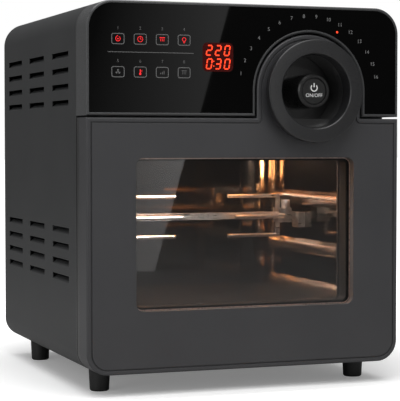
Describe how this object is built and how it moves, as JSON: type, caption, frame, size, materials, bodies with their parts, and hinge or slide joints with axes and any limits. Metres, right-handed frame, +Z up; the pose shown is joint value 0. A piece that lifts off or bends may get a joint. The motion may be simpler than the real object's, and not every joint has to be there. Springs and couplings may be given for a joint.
{
  "type": "countertop air fryer oven",
  "caption": "Countertop air fryer oven with a fold-down glass door, a ring handle round the knob, a touch panel and a rotisserie.",
  "frame": {"origin": "on the table under the middle of the oven's box", "axes": "+Z up, +X to the right seen from the front, front towards -Y"},
  "size_m": [0.34, 0.366, 0.392],
  "materials": {
    "shell_paint": "matt",
    "bezel_paint": "satin",
    "door_paint": "matt",
    "ring_paint": "satin",
    "frame_paint": "satin",
    "liner_black": "satin",
    "panel_black": "gloss",
    "tunnel_black": "gloss",
    "knob_black": "satin",
    "button_black": "satin",
    "clear_glass": "gloss",
    "black_plastic": "matt",
    "foot_rubber": "matt",
    "seal_rubber": "matt",
    "stainless": "satin",
    "tray_steel": "satin",
    "zinc_steel": "satin",
    "bright_steel": "polished",
    "screw_steel": "satin",
    "coil_steel": "matt",
    "fan_aluminium": "satin",
    "motor_steel": "satin",
    "board_green": "satin",
    "spring_steel": "satin",
    "lamp_white": "gloss"
  },
  "bodies": {
    "oven": {"outer_shell": "shell_paint", "rear_panel": "shell_paint", "housing_screws": "screw_steel", "base_plate": "zinc_steel", "feet": "foot_rubber", "foot_screws": "screw_steel", "front_frame": "frame_paint", "control_bezel": "bezel_paint", "control_glass": "panel_black", "control_board": "board_green", "display_module": "black_plastic", "touch_springs": "spring_steel", "board_posts": "board_green", "power_board": "board_green", "encoder": "black_plastic", "knob_backing": "tunnel_black", "hinge_brackets": "zinc_steel", "door_seal": "seal_rubber", "catch_plates": "zinc_steel", "door_switch": "black_plastic", "cavity_wall": "stainless", "cavity_floor": "stainless", "cavity_ceiling": "stainless", "cavity_brackets": "zinc_steel", "drip_tray": "tray_steel", "heater_housing": "stainless", "heater_coil": "coil_steel", "fan_guard": "stainless", "fan_motor": "motor_steel", "motor_bridge": "zinc_steel", "thermal_cutout": "zinc_steel", "socket_bush": "black_plastic", "gear_motor": "motor_steel", "gear_bracket": "zinc_steel", "spit_support": "bright_steel", "lamp_holder": "zinc_steel", "lamp": "lamp_white", "lamp_glass": "clear_glass", "temperature_probe": "bright_steel", "cord_gland": "black_plastic"},
    "door": {"door_panel": "door_paint", "door_liner": "liner_black", "door_screws": "screw_steel", "outer_glass": "clear_glass", "inner_glass": "clear_glass", "glass_spacer": "black_plastic", "handle_ring": "ring_paint", "handle_tunnel": "tunnel_black", "hinge_pins": "bright_steel", "door_magnets": "spring_steel"},
    "knob": {"knob": "knob_black", "encoder_shaft": "bright_steel"},
    "button": {"on_off_button": "button_black"},
    "spit": {"spit": "bright_steel", "forks": "bright_steel", "thumbscrews": "bright_steel", "drive_socket": "bright_steel"},
    "fan": {"convection_fan": "fan_aluminium", "fan_shaft": "bright_steel", "cooling_fan": "fan_aluminium"}
  },
  "joints": [
    {"name": "door_hinge", "type": "hinge", "parent": "oven", "child": "door", "pos_m": [0, -0.148, 0.039], "axis": [1, 0, 0], "range_deg": [0, 90]},
    {"name": "knob_spin", "type": "hinge", "parent": "oven", "child": "knob", "pos_m": [0.0684, -0.15, 0.3045], "axis": [0, 1, 0], "continuous": true},
    {"name": "button_press", "type": "slide", "parent": "knob", "child": "button", "axis": [0, 1, 0], "range_m": [0, 0.0015], "stiffness_N_per_m": 400},
    {"name": "spit_spin", "type": "hinge", "parent": "oven", "child": "spit", "pos_m": [0, -0.0175, 0.1704], "axis": [1, 0, 0], "continuous": true},
    {"name": "fan_spin", "type": "hinge", "parent": "oven", "child": "fan", "pos_m": [0, -0.0175, 0.3], "axis": [0, 0, 1], "continuous": true}
  ]
}
